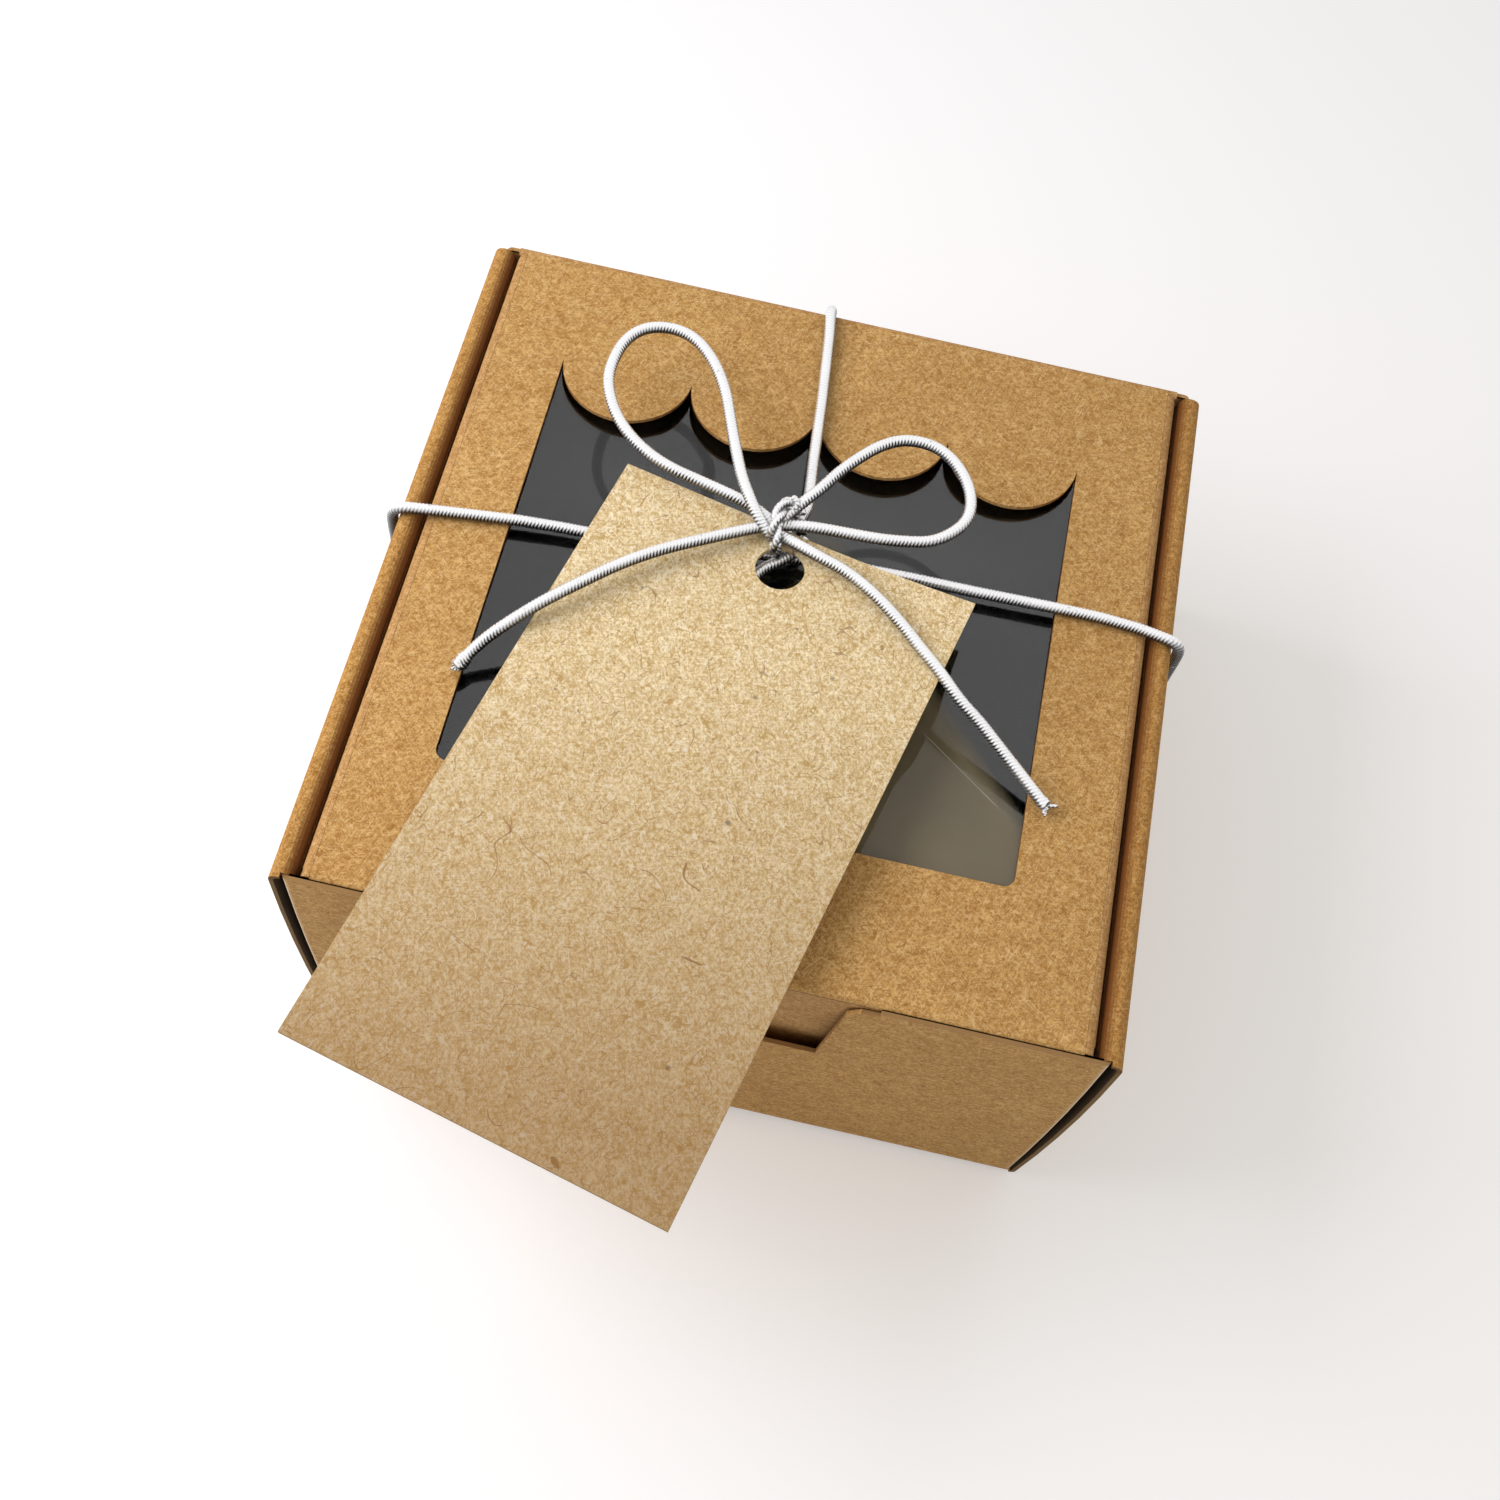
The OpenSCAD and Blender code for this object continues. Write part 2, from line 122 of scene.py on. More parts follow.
def alongLine(tree, place, start, end):
    # coordinates with x along a line that starts at 0, and y across it
    way = Vector(end) - Vector(start)
    turned = addNode(tree, "Mapping", {"vector_type": "TEXTURE"},
                     {"Vector": place, "Location": (start[0] * mm, start[1] * mm, 0),
                      "Rotation": (0, 0, math.atan2(way.y, way.x))})
    return addNode(tree, "SeparateXYZ", inputs=(turned,)), way.length * mm


def pieceFromMesh(name, shape, material, body, node=()):
    # a finished bmesh becomes a piece that rides on a body
    mesh = bpy.data.meshes.new(name)
    shape.to_mesh(mesh)
    shape.free()
    piece = bpy.data.objects.new(name, mesh)
    bpy.context.collection.objects.link(piece)
    mesh.materials.append(material)
    for face in mesh.polygons:
        face.use_smooth = True
    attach(piece, body)
    if node:
        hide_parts(*node)
    return piece


# elastic cord: metallic yarn plaited over a rubber core, so it glitters white; the dark in the gaps between
# plaits and on its side away from the lamp is painted shade
# four numbers in a row are the two ends of a reading and the two shares that they give
cordLook = {
    "silver": "#fdfdfe", "shade": "#4e4f53", "gapShade": "#0c0d0e", "metallic": 0.7, "glitter": 0.4, "patch": 5,
    "lightWay": (-0.35, 0.55, 0.75), "gaps": (0.25, 0.7, 1, 0), "underside": (0.5, 0.12, 0.1, 1),
    "dimmed": (0.28, -0.5, 0, 0.95), "uneven": (0.35, 0.65, 0.6, 1.3), "flecks": (0.33, 0.24, 0, 0.55),
    "roughness": (0.3, 0.7, 0.2, 0.36)}


def silverYarn():
    look = cordLook
    material, tree = newMaterial("metallicYarn")
    rib = addNode(tree, "Attribute", {"attribute_name": "rib"})
    coords = addNode(tree, "TexCoord")
    place = coords.outputs["Object"]
    glitter = addNode(tree, "TexNoise", inputs={"Vector": place, "Scale": 1000 / look["glitter"],
                                                "Detail": 2, "Roughness": 0.6})
    patches = addNode(tree, "TexNoise", inputs={"Vector": place, "Scale": 1000 / look["patch"],
                                                "Detail": 1})
    # painted shade: the side that looks away from the lamp is tinted towards the shade colour, and there the
    # gaps between plaits are painted near black
    lit = addNode(tree, "VectorMath", {"operation": "DOT_PRODUCT"},
                  (coords.outputs["Normal"], Vector(look["lightWay"]).normalized())).outputs["Value"]
    gaps = addNode(tree, "MapRange", inputs=(rib.outputs["Fac"], *look["gaps"]))
    under = addNode(tree, "MapRange", inputs=(lit, *look["underside"]))
    uneven = addNode(tree, "MapRange", inputs=(patches, *look["uneven"]))
    flecks = addNode(tree, "MapRange", inputs=(glitter, *look["flecks"]))
    dark = addNode(tree, "Math", times, (gaps, under))
    dark = addNode(tree, "Math", {**times, "use_clamp": True}, (dark, uneven))
    dark = addNode(tree, "Math", larger, (dark, flecks))
    dimmed = addNode(tree, "MapRange", inputs=(lit, *look["dimmed"]))
    # painted shade laid over the silver, darker away from the lamp and near black in the gaps between plaits
    tone = layered(tree, look["silver"], [(dimmed, look["shade"]), (dark, look["gapShade"])])
    rough = addNode(tree, "MapRange", inputs=(glitter, *look["roughness"]))
    finishMaterial(tree, addNode(tree, "BsdfPrincipled", inputs={
        "Base Color": tone, "Metallic": look["metallic"], "Roughness": rough}))
    return material


yarn = silverYarn()

# the cord's round, its two crossing plaits, the crumple of a cut end, and how an end is closed
cordShape = {"thickness": 1.2, "step": 0.085, "rounds": 8, "plaits": 3, "pitch": 0.36, "relief": 0.032,
             "rightPlait": 0.34, "leftPlait": 0.16, "level": 1.2, "swellArc": 2.2, "crumple": 0.45,
             "capInset": 0.2, "capRise": 0.14, "capRib": 0.7, "smoothing": 90, "cornering": 60}


def rounded(route, cuts=12):
    # smooth curve through the points of a route
    points = [Vector(p) for p in route]
    last = len(points) - 1
    line = []
    for i in range(last):
        a, b, c, d = points[max(i - 1, 0)], points[i], points[i + 1], points[min(i + 2, last)]
        for j in range(cuts):
            t = j / cuts
            bend = (2 * a - 5 * b + 4 * c - d) * t * t + (3 * b - a - 3 * c + d) * t ** 3
            line.append(0.5 * ((2 * b) + (c - a) * t + bend))
    return line + [points[last]]


def evenly(points, step):
    # the same line with its points one step apart
    lengths = [0]
    for a, b in zip(points, points[1:]):
        lengths.append(lengths[-1] + (b - a).length)
    count = max(2, round(lengths[-1] / step))
    line, k = [], 0
    for i in range(count + 1):
        s = lengths[-1] * i / count
        while k < len(points) - 2 and lengths[k + 1] < s:
            k += 1
        span = max(lengths[k + 1] - lengths[k], 1e-9)
        line.append(points[k].lerp(points[k + 1], (s - lengths[k]) / span))
    return line


def eased(points, turns):
    # takes the corners off a line, with its ends kept
    line = points[:]
    for turn in range(turns):
        inner = [(line[i - 1] + 2 * line[i] + line[i + 1]) / 4 for i in range(1, len(line) - 1)]
        line = [line[0]] + inner + [line[-1]]
    return line


def centreLine(route, smooth):
    # a route is given in mm above the lid's top
    points = rounded(route) if smooth else [Vector(p) for p in route]
    line = eased(evenly(points, cordShape["step"]), cordShape["smoothing" if smooth else "cornering"])
    line = evenly(line, cordShape["step"])
    return [Vector((p.x, p.y, p.z + lidTop)) * mm for p in line]


def twisted(line, radius, turns):
    # two lines wound about one another
    pair = []
    for phase in (0, math.pi):
        wound = []
        for i, p in enumerate(line):
            along = (line[min(i + 1, len(line) - 1)] - line[max(i - 1, 0)]).normalized()
            aside = (Vector((1, 0, 0)) - along * along.x).normalized()
            a = 2 * math.pi * turns * i / (len(line) - 1) + phase
            wound.append(p + (aside * math.cos(a) + along.cross(aside) * math.sin(a)) * radius * mm)
        pair.append(wound)
    return pair


def roundCurveMesh(name, line, diameter):
    curve = bpy.data.curves.new(name, "CURVE")
    curve.dimensions = "3D"
    curve.bevel_depth = diameter / 2 * mm
    curve.bevel_resolution = cordShape["rounds"]
    spline = curve.splines.new("POLY")
    spline.points.add(len(line) - 1)
    for point, p in zip(spline.points, line):
        point.co = (*p, 1)
    holder = bpy.data.objects.new(name, curve)
    bpy.context.collection.objects.link(holder)
    mesh = bpy.data.meshes.new_from_object(holder.evaluated_get(bpy.context.evaluated_depsgraph_get()))
    bpy.data.objects.remove(holder)
    bpy.data.curves.remove(curve)
    shape = bmesh.new()
    shape.from_mesh(mesh)
    bpy.data.meshes.remove(mesh)
    return shape


def braidedTube(name, line, diameter, swell=None):
    # a round cord, pressed into the plaits of two crossing helices and closed at its ends
    s = cordShape
    shape = roundCurveMesh(name, line, diameter)
    shape.verts.ensure_lookup_table()
    sides = len(shape.verts) // len(line)
    rib = shape.verts.layers.float.new("rib")
    for i, vert in enumerate(shape.verts):
        ring, side = divmod(i, sides)
        along = ring * s["step"] / s["pitch"]
        around = s["plaits"] * side / sides
        height = (0.5 + s["rightPlait"] * math.cos(2 * math.pi * (along + around))
                  + s["leftPlait"] * math.cos(2 * math.pi * (along - around)))
        vert[rib] = height
        grow = 1 + s["relief"] / (diameter / 2) * (2 * height - s["level"])
        if swell:
            share = max(0, 1 - (len(line) - 1 - ring) * s["step"] / swell["reach"])
            crumple = noise.noise(vert.co / (s["crumple"] * mm))
            grow *= 1 + swell["size"] * math.sin(s["swellArc"] * share) + swell["crumple"] * share * crumple
        vert.co = line[ring] + (vert.co - line[ring]) * grow
    caps = bmesh.ops.holes_fill(shape, edges=[e for e in shape.edges if e.is_boundary], sides=0)["faces"]
    bmesh.ops.recalc_face_normals(shape, faces=shape.faces)
    bmesh.ops.inset_region(shape, faces=caps, thickness=s["capInset"] * diameter * mm,
                           depth=s["capRise"] * diameter * mm)
    for cap in caps:
        for vert in cap.verts:
            vert[rib] = s["capRib"]
    return shape


def joined(shapes):
    whole = bmesh.new()
    for shape in shapes:
        part = bpy.data.meshes.new("part")
        shape.to_mesh(part)
        shape.free()
        whole.from_mesh(part)
        bpy.data.meshes.remove(part)
    return whole


# the wrap lies this far out beside the box and above the lid, and crosses the box's edges at these places
outX, outY, overZ = 40.8, 40.3, 0.8
leftY, rightY, crossX = 2, 6.4, -2


def overEdge(wall, side):
    # from beside a wall up round the edge of the lid
    points = []
    for inward, z in ((0, -3), (0, -1), (0.3, 0.2), (1.3, overZ)):
        if wall == "side":
            points.append([side * (outX - inward), rightY if side > 0 else leftY, z])
        else:
            points.append([crossX, side * (outY - inward), z])
    return points


cordSettings = {
    "strandOverX": {"node": "strand_over_x", "route": overEdge("side", -1) + [
        [-35.8, 2.5, overZ], [-31.8, 3.0, overZ], [-27.8, 3.5, 0.75], [-23.6, 3.8, 0.7], [-21, 3.9, 0.7],
        [-12, 4.8, 0.75], [-1, 6.1, overZ], [5, 6.7, overZ], [12.3, 7.0, 0.75], [19.5, 7.1, 0.7],
        [27.8, 7.3, 0.75], [32, 7.3, overZ], [36.2, 7.0, overZ]] + overEdge("side", 1)[::-1]},
    "strandOverBack": {"node": "strand_over_back", "route": overEdge("end", 1) + [
        [-1.5, 35.2, overZ], [-1.1, 31, overZ], [-0.7, 26.9, overZ], [-0.4, 22.9, 0.8], [-0.1, 18.7, 1.1],
        [0.3, 14.1, 2], [0.5, 10.9, 2.9], [0, 9.1, 3.6]]},
    "strandOverFront": {"node": "strand_over_front", "route": [
        [0.9, 7.8, 2.2], [0.3, 6.2, 2.1], [-1, 4.85, 1.9], [-1.9, 4.15, 1.8], [-2.9, 3.3, 1.5],
        [-3.6, 2, 1.1], [-3.7, -1, 0.85], [-3, -7, overZ], [-2.2, -14, overZ], [-2, -24, overZ],
        [-2, -32, overZ]] + overEdge("end", -1)[::-1]},
    "bowLoopLeft": {"node": "bow_loop_left", "smooth": True, "end": "object", "unmirrored": True, "route": [
        [-1.7, 5.3, 4.5], [-2.8, 5.9, 4.9], [-4.1, 7, 5.6], [-5.3, 8.7, 5.9], [-6.7, 11.2, 6],
        [-8.1, 14.6, 6.1], [-9.2, 17.6, 6.1], [-10.3, 20.6, 6.1], [-11.7, 23.3, 6.1], [-13.2, 25.3, 6.1],
        [-14.9, 26.8, 6.1], [-16.8, 27.6, 6], [-18.9, 27.5, 6], [-20.7, 26.6, 6], [-22, 24.8, 5.9],
        [-22.6, 22.4, 5.7], [-22.6, 19.9, 5.5], [-21.7, 17.4, 5.3], [-20.3, 15.2, 5.2], [-18.5, 13.4, 5.1],
        [-16.3, 11.9, 5.1], [-13.8, 10.8, 5.1], [-10.7, 10, 5.1], [-7.6, 9.3, 5], [-5.2, 8.7, 4.8],
        [-3.1, 7.7, 4.6], [-1.7, 7.1, 4.5]]},
    "bowLoopRight": {"node": "bow_loop_right", "smooth": True, "end": "object", "unmirrored": True, "route": [
        [-1.6, 8.1, 4.5], [-0.9, 9, 4.9], [0.2, 10.4, 5.3], [1.5, 12.1, 5.6], [2.9, 14.3, 5.9],
        [4.6, 16.4, 6.2], [6.3, 18.2, 6.3], [8.2, 19.4, 6.4], [10.2, 19.8, 6.4], [12.4, 19.4, 6.4],
        [14.4, 18, 6.3], [15.9, 15.9, 6.2], [16.6, 13.7, 6], [16.4, 11.7, 5.9], [15.3, 10.1, 5.7],
        [13.5, 8.7, 5.5], [11.3, 8.1, 5.4], [8.3, 7.7, 5.3], [5.3, 7.6, 5.2], [2.2, 7.6, 5], [0.2, 7.5, 4.8],
        [-1.3, 7.4, 4.5], [-2.4, 7.1, 4.4]]},
    "bowTailLeft": {"node": "bow_tail_left", "smooth": True, "end": "bare", "route": [
        [-2.3, 7.1, 4.4], [-4, 6.2, 4.7], [-5.5, 5.2, 5], [-9.1, 3, 5.2], [-12.7, 0.8, 5.2],
        [-16.1, -1.8, 5.2], [-19.4, -4.8, 5], [-22.6, -7.8, 4.6], [-25.8, -10.8, 3.4], [-27.4, -12.3, 2.3],
        [-28.5, -13.6, 1.4], [-29.1, -14.6, 0.95]],
        "swell": {"reach": 1.5, "size": 0.3, "crumple": 0.35},
        "fray": {"name": "tailTuftLeft", "yarn": 0.34, "yarns": [
            (-0.9, 0.3, 0.55), (-0.3, 0.5, 0.6), (0.4, 0.1, 0.65), (1.0, 0.3, 0.5)]}},
    "bowTailRight": {"node": "bow_tail_right", "smooth": True, "end": "bare", "route": [
        [-1.5, 5.9, 4.7], [0.7, 5, 5], [2.8, 4.1, 5.2], [5, 3.3, 5.3], [7.2, 2.2, 5.3], [9.5, 0.7, 5.2],
        [11.9, -1.2, 5], [14.3, -3.4, 4.8], [16.7, -5.5, 4.5], [19.1, -7.7, 3.9], [21.5, -9.3, 3.2],
        [23.9, -11.2, 2.5], [26.3, -13.1, 1.8], [28.2, -14.6, 1.25], [29.2, -15.4, 0.95]],
        "swell": {"reach": 0.8, "size": 0.1, "crumple": 0.25},
        "fray": {"name": "tailTuftRight", "yarn": 0.36, "yarns": [
            (-0.85, 0.2, 1.25), (-0.7, 0.45, 1.1), (-0.95, 0.0, 1.0), (0.1, 0.2, 0.5), (0.75, 0.1, 1.1),
            (0.95, 0.35, 1.0), (0.6, 0.0, 0.9)]}},
    "tagLoop": {"node": "tag_loop", "smooth": True, "diameter": 0.72, "twist": (0.3, 1.2), "route": [
        [-1.8, 4.8, 4.7], [-1.5, 4.7, 3.7], [-1.3, 4.8, 2.95], [-1.2, 5.4, 2.4], [-1.1, 6.6, 2.3],
        [-1, 7.9, 2.55], [-1, 8.8, 3.3], [-1.2, 8.6, 4.2]]},
    "bowKnot": {"node": "bow_knot", "smooth": True, "diameter": 0.78, "twist": (0.36, 1.9), "route": [
        [-0.1, 9.3, 4], [-0.6, 9.9, 4.6], [-1.3, 9.9, 5.2], [-1.9, 9.1, 5.7], [-2, 8, 6], [-2.2, 6.8, 6.1],
        [-2.1, 5.8, 6], [-2.1, 5.2, 5.5], [-1.8, 4.8, 4.7], [-1.6, 4.7, 4.1]],
        "coil": {"centre": (-1.0, 9.5, 5.3), "radius": 0.62, "rise": 0.5, "turns": 1.3, "diameter": 0.85,
                 "tilt": 25, "cuts": 40}}}
# the yarns of a cut end start inside the cord; above, each has its swing aside, its lift and its length
fraySettings = {"root": 0.5, "apart": 0.25, "ahead": 0.5, "easing": 6, "lookBack": 8,
                "taper": {"reach": 0.3, "size": -0.2, "crumple": 0.3}}


def coilLine(coil):
    points = []
    tilt = Matrix.Rotation(math.radians(coil["tilt"]), 3, "X")
    for i in range(coil["cuts"] + 1):
        share = i / coil["cuts"]
        a = 2 * math.pi * coil["turns"] * share
        turned = tilt @ Vector((coil["radius"] * math.cos(a), coil["radius"] * math.sin(a),
                                coil["rise"] * (share - 0.5)))
        points.append(list(Vector(coil["centre"]) + turned))
    return centreLine(points, True)


def frayedEnd(line, fray, cover):
    # short yarns that spring apart where the cord was cut
    s = fraySettings
    tip = line[-1]
    ahead = (tip - line[-s["lookBack"]]).normalized()
    aside = ahead.cross(Vector((0, 0, 1))).normalized()
    shapes = []
    for swing, lift, length in fray["yarns"]:
        way = ahead * math.cos(swing) + aside * math.sin(swing) + Vector((0, 0, lift))
        start = tip - ahead * s["root"] * mm + aside * math.sin(swing) * s["apart"] * mm
        leaving = tip + (ahead * s["ahead"] + aside * math.sin(swing)) * s["apart"] * mm
        points = [start, leaving, tip + way * length * mm]
        yarnLine = eased(evenly(points, cordShape["step"] * mm), s["easing"])
        shapes.append(braidedTube(fray["name"], yarnLine, fray["yarn"], s["taper"]))
    return pieceFromMesh(fray["name"], joined(shapes), cover, "wrap")


def layCord(name, one):
    line = centreLine(one["route"], one.get("smooth", False))
    diameter = one.get("diameter", cordShape["thickness"])
    lines = twisted(line, *one["twist"]) if "twist" in one else [line]
    shapes = [braidedTube(name, each, diameter, one.get("swell")) for each in lines]
    if "coil" in one:
        shapes.append(braidedTube(name, coilLine(one["coil"]), one["coil"]["diameter"]))
    piece = pieceFromMesh(name, joined(shapes), yarn, "wrap", (one["node"],))
    if one.get("unmirrored"):
        piece.visible_glossy = False  # the film would show it twice over
    if "end" in one:
        onIt = [frayedEnd(line, one["fray"], yarn)] if "fray" in one else []


for name, one in cordSettings.items():
    layCord(name, one)
print("cords over the lid laid and knotted")

# uprights follow the bow of the side walls and turn in under the base
uprightSettings = {"levels": [35, 28, 22.385, 15.165, 7.945, 1.6, 0.8, 0.2], "turnedIn": 0.3,
                   "bowTop": 36.625, "bowFoot": 1.6, "lean": 2.1}


def uprightRoute(wall, side):
    s = uprightSettings
    points = []
    for z in s["levels"]:
        inward = s["turnedIn"] if z == s["levels"][-1] else 0
        if wall == "side":
            bow = s["lean"] * max(0, 1 - max(z, s["bowFoot"]) / s["bowTop"]) ** 2
            points.append([side * (outX - bow - inward), rightY if side > 0 else leftY, z - lidTop])
        else:
            points.append([crossX, side * (outY - inward), z - lidTop])
    return points


underZ = -0.55 - lidTop
underX = [(-38, leftY), (-20, 2.8), (0, 4.2), (20, 5.5), (38, rightY)]
foldingCords = {
    "strandLeft": {"node": "strand_left", "routes": [uprightRoute("side", -1)]},
    "strandRight": {"node": "strand_right", "routes": [uprightRoute("side", 1)]},
    "strandBack": {"node": "strand_back", "routes": [uprightRoute("end", 1)]},
    "strandFront": {"node": "strand_front", "routes": [uprightRoute("end", -1)]},
    "strandUnderX": {"node": "strand_under_x", "diameter": 0.9, "routes": [
        [[x, y, underZ] for x, y in underX]]},
    # this one breaks off where the other crosses it
    "strandUnderY": {"node": "strand_under_y", "diameter": 0.9, "routes": [
        [[crossX, y, underZ] for y in (4.2 + side * 0.95, side * 20, side * 39.6)] for side in (-1, 1)]}}

for name, one in foldingCords.items():
    diameter = one.get("diameter", cordShape["thickness"])
    shapes = [braidedTube(name, centreLine(route, False), diameter) for route in one["routes"]]
    piece = pieceFromMesh(name, joined(shapes), yarn, "wrap", (one["node"],))
    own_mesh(piece)
print("cords round the box laid")

# how wood pulp shows in board and card
# curled fibres lie where a slow noise crosses its middle, and another noise breaks them up
pulpSettings = {"paleFrom": 0.58, "darkFrom": 0.42, "curlShift": (0.31, 0.17, 0.05), "curlWander": 0.4,
                "curlCore": 0.3, "curlBreaks": 0.9, "curlFade": 0.03}


def pulpLayers(tree, place, pulp, look):
    # blotches by size, straight fibres by the way they lie, then curled ones; also gives the finest grain
    s = pulpSettings
    layers, grains = [], []
    for (size, detail, rough, low, high), share in zip(pulp["blotches"], (look["grain"], *pulp["shares"])):
        grain = addNode(tree, "TexNoise", inputs={"Vector": place, "Scale": 1000 / size,
                                                  "Detail": detail, "Roughness": rough})
        grains.append(grain)
        layers.append((addNode(tree, "MapRange", inputs=(grain, low, high, 0, share)), look["dark"]))
    for i, (turn, length, width) in enumerate(look["fibres"]):
        laid = addNode(tree, "Mapping", {"vector_type": "TEXTURE"},
                       {"Vector": place, "Location": [i * step for step in pulp["apart"]],
                        "Rotation": [math.radians(a) for a in turn],
                        "Scale": (length * mm, width * mm, width * mm)})
        strands = addNode(tree, "TexNoise", inputs={"Vector": laid, "Scale": 1, "Detail": 1,
                                                    "Distortion": pulp["bent"]})
        for tint, start, way in (("pale", s["paleFrom"], 1), ("dark", s["darkFrom"], -1)):
            end = start + way * pulp["fade"]
            shown = addNode(tree, "MapRange", inputs=(strands, start, end, 0, pulp["fibreShare"]))
            layers.append((shown, look[tint]))
    for i, (size, thin, rare, share, tint) in enumerate(pulp["curls"]):
        acrossStep, alongStep, depth = s["curlShift"]
        shifted = addNode(tree, "Mapping", inputs={
            "Vector": place, "Location": (acrossStep * (i + 1), alongStep * i, depth)})
        slow = addNode(tree, "TexNoise", inputs={"Vector": shifted, "Scale": 1000 / size, "Detail": 0,
                                                 "Distortion": s["curlWander"]})
        away = addNode(tree, "Math", {"operation": "SUBTRACT"}, (slow, 0.5))
        away = addNode(tree, "Math", unsigned, (away,))
        hair = addNode(tree, "MapRange", inputs=(away, thin, thin * s["curlCore"], 0, 1))
        breaks = addNode(tree, "TexNoise", inputs={"Vector": shifted, "Detail": 0,
                                                   "Scale": 1000 * s["curlBreaks"] / size})
        kept = addNode(tree, "MapRange", inputs=(breaks, rare, rare + s["curlFade"], 0, share))
        layers.append((addNode(tree, "Math", times, (hair, kept)), look[tint]))
    return layers, grains[0]


# board: unbleached sulphate pulp, pressed smooth, so it is matte with short fibres lying every way
# a blotch is a size, detail, roughness and the two readings between which it shows
# a curl is a size, a thinness, how rare it is, a share and a tint
boardLook = {
    "blotches": [(0.36, 3, 0.65, 0.39, 0.61), (1.5, 2, 0.5, 0.38, 0.66), (13, 2, 0.5, 0.35, 0.65)],
    "shares": (0.32, 0.2), "apart": (0.013, 0.007, 0.003), "bent": 0.5, "fade": 0.16, "fibreShare": 0.5,
    "curls": [(0.9, 0.03, 0.5, 0.7, "dark"), (0.95, 0.03, 0.52, 0.4, "pale"),
              (2.6, 0.012, 0.62, 0.5, "pale")],
    "roughness": 0.82, "gloss": 0.3, "bump": 0.5, "relief": 0.02}
# a fibre is a turn, a length and a width; real ones are 0.03 wide, and are drawn coarser so that they show
lidFibres = [((0, 0, 20), 0.95, 0.13), ((0, 0, -38), 0.85, 0.12), ((0, 0, 72), 0.9, 0.12),
             ((0, 40, 118), 0.8, 0.12)]
wallFibres = [((0, 0, 3), 2.2, 0.13), ((0, 0, -4), 1.5, 0.15), ((0, 0, 86), 1.6, 0.13),
              ((0, 35, 20), 0.9, 0.12)]
# painted light and shade: a fold or cut end is tinted darker or paler by the way its faces look; inward and
# flank also go by how far out they lie
edgeReach = {"side": (0.15, 0.8), "end": (0.8, 0.95), "top": (0.75, 0.95), "fold": (0.15, 0.35),
             "inward": (-0.003, -0.03), "flank": (0.0366, 0.0392)}
edgeShare = 0.92
boardSettings = {
    # painted shade: a darker band along both side folds of the lid
    "kraftLidBoard": {
        "nodes": ("lid_panel",), "tone": "#daaf6b", "dark": "#9a6a2f", "pale": "#e9c78f", "grain": 0.75,
        "fibres": lidFibres, "edges": {"flank": "#8f5426", "side": "#8d5c30"}},
    "kraftBoxBoard": {
        "nodes": ("base_panel", "back_wall", "left_inner_wall", "right_inner_wall", "lid_left_flap",
                  "lid_right_flap", "tuck_flap", "tuck_lip", "back_left_corner_flap",
                  "back_right_corner_flap"),
        "tone": "#cfa368", "dark": "#9b6c38", "pale": "#e0bd88", "grain": 0.7,
        "fibres": wallFibres, "edges": {}},
    # painted shade on the top cut edge under the lid's crease, and a painted highlight along the folded
    # corners
    "kraftFrontBoard": {
        "nodes": ("front_wall",), "tone": "#d4a966", "dark": "#9b6c36", "pale": "#e0bc83", "grain": 0.7,
        "fibres": wallFibres, "edges": {"top": "#94734a", "fold": "#f0d9b8"}},
    # painted shade: the ridges' inner flanks and cut ends are tinted darker
    "kraftRolledBoard": {
        "nodes": ("left_ridge", "right_ridge"), "tone": "#c8974f", "dark": "#8e5e28", "pale": "#deb676",
        "grain": 0.7, "fibres": lidFibres, "edges": {"inward": "#6e3f18", "end": "#5c431f"}},
    # painted shade: the outer walls' inner faces are near black and their cut ends darker
    "kraftSideBoard": {
        "nodes": ("left_outer_wall", "right_outer_wall"), "tone": "#c79d62", "dark": "#946a38",
        "pale": "#dab47c", "grain": 0.7,
        "fibres": wallFibres, "edges": {"inward": "#1c140b", "end": "#6b5430"}},
    # these two stand in the dark between the side walls
    "kraftShadedBoard": {
        "nodes": ("front_left_corner_flap", "front_right_corner_flap"), "tone": "#2c1f11",
        "dark": "#1a120a", "pale": "#3a2a18", "grain": 0.5, "fibres": wallFibres, "edges": {}}}


def kraftBoard(name, look):
    material, tree = newMaterial(name)
    coords = addNode(tree, "TexCoord")
    layers, grain = pulpLayers(tree, coords.outputs["Object"], boardLook, look)
    at = addNode(tree, "SeparateXYZ", inputs=(coords.outputs["Object"],))
    facing = addNode(tree, "SeparateXYZ", inputs=(coords.outputs["Normal"],))
    far, acrossX, acrossY = (addNode(tree, "Math", unsigned, (part,))
                             for part in (at.outputs[0], facing.outputs[0], facing.outputs[1]))
    readings = {"side": acrossX, "end": acrossY, "top": facing.outputs[2], "flank": far,
                "inward": addNode(tree, "Math", times, (at, facing)),
                "fold": addNode(tree, "Math", times, (acrossX, acrossY))}
    # painted light and shade on folds, cut ends and hollows, by where each face lies and which way it looks
    for edge, tint in look["edges"].items():
        share = addNode(tree, "MapRange", inputs=(readings[edge], *edgeReach[edge], 0, edgeShare))
        layers.append((share, tint))
    finishMatte(tree, boardLook, layered(tree, look["tone"], layers), grain)
    return material


for boardName, look in boardSettings.items():
    board = kraftBoard(boardName, look)
    for nodeName in look["nodes"]:
        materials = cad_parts[nodeName].data.materials
        if not len(materials):
            materials.append(board)
        for k in range(len(materials)):
            materials[k] = board
print("board finished")


# window film: cast PET, glossy and clear, glued by its margin and sagging in front of and behind a crest
filmSettings = {"left": -32.8, "right": 31.6, "front": -28.3, "back": 29.6, "top": 37.55, "thickness": 0.1,
                "cells": (96, 86), "glue": 0.06, "margin": 0.8, "ease": 3, "crest": 0.12, "sag": 1.25,
                "crestY": 5, "spread": 12, "reach": 16, "wave": 0.04, "waveSize": (17, 21), "waveSeed": 0.4}
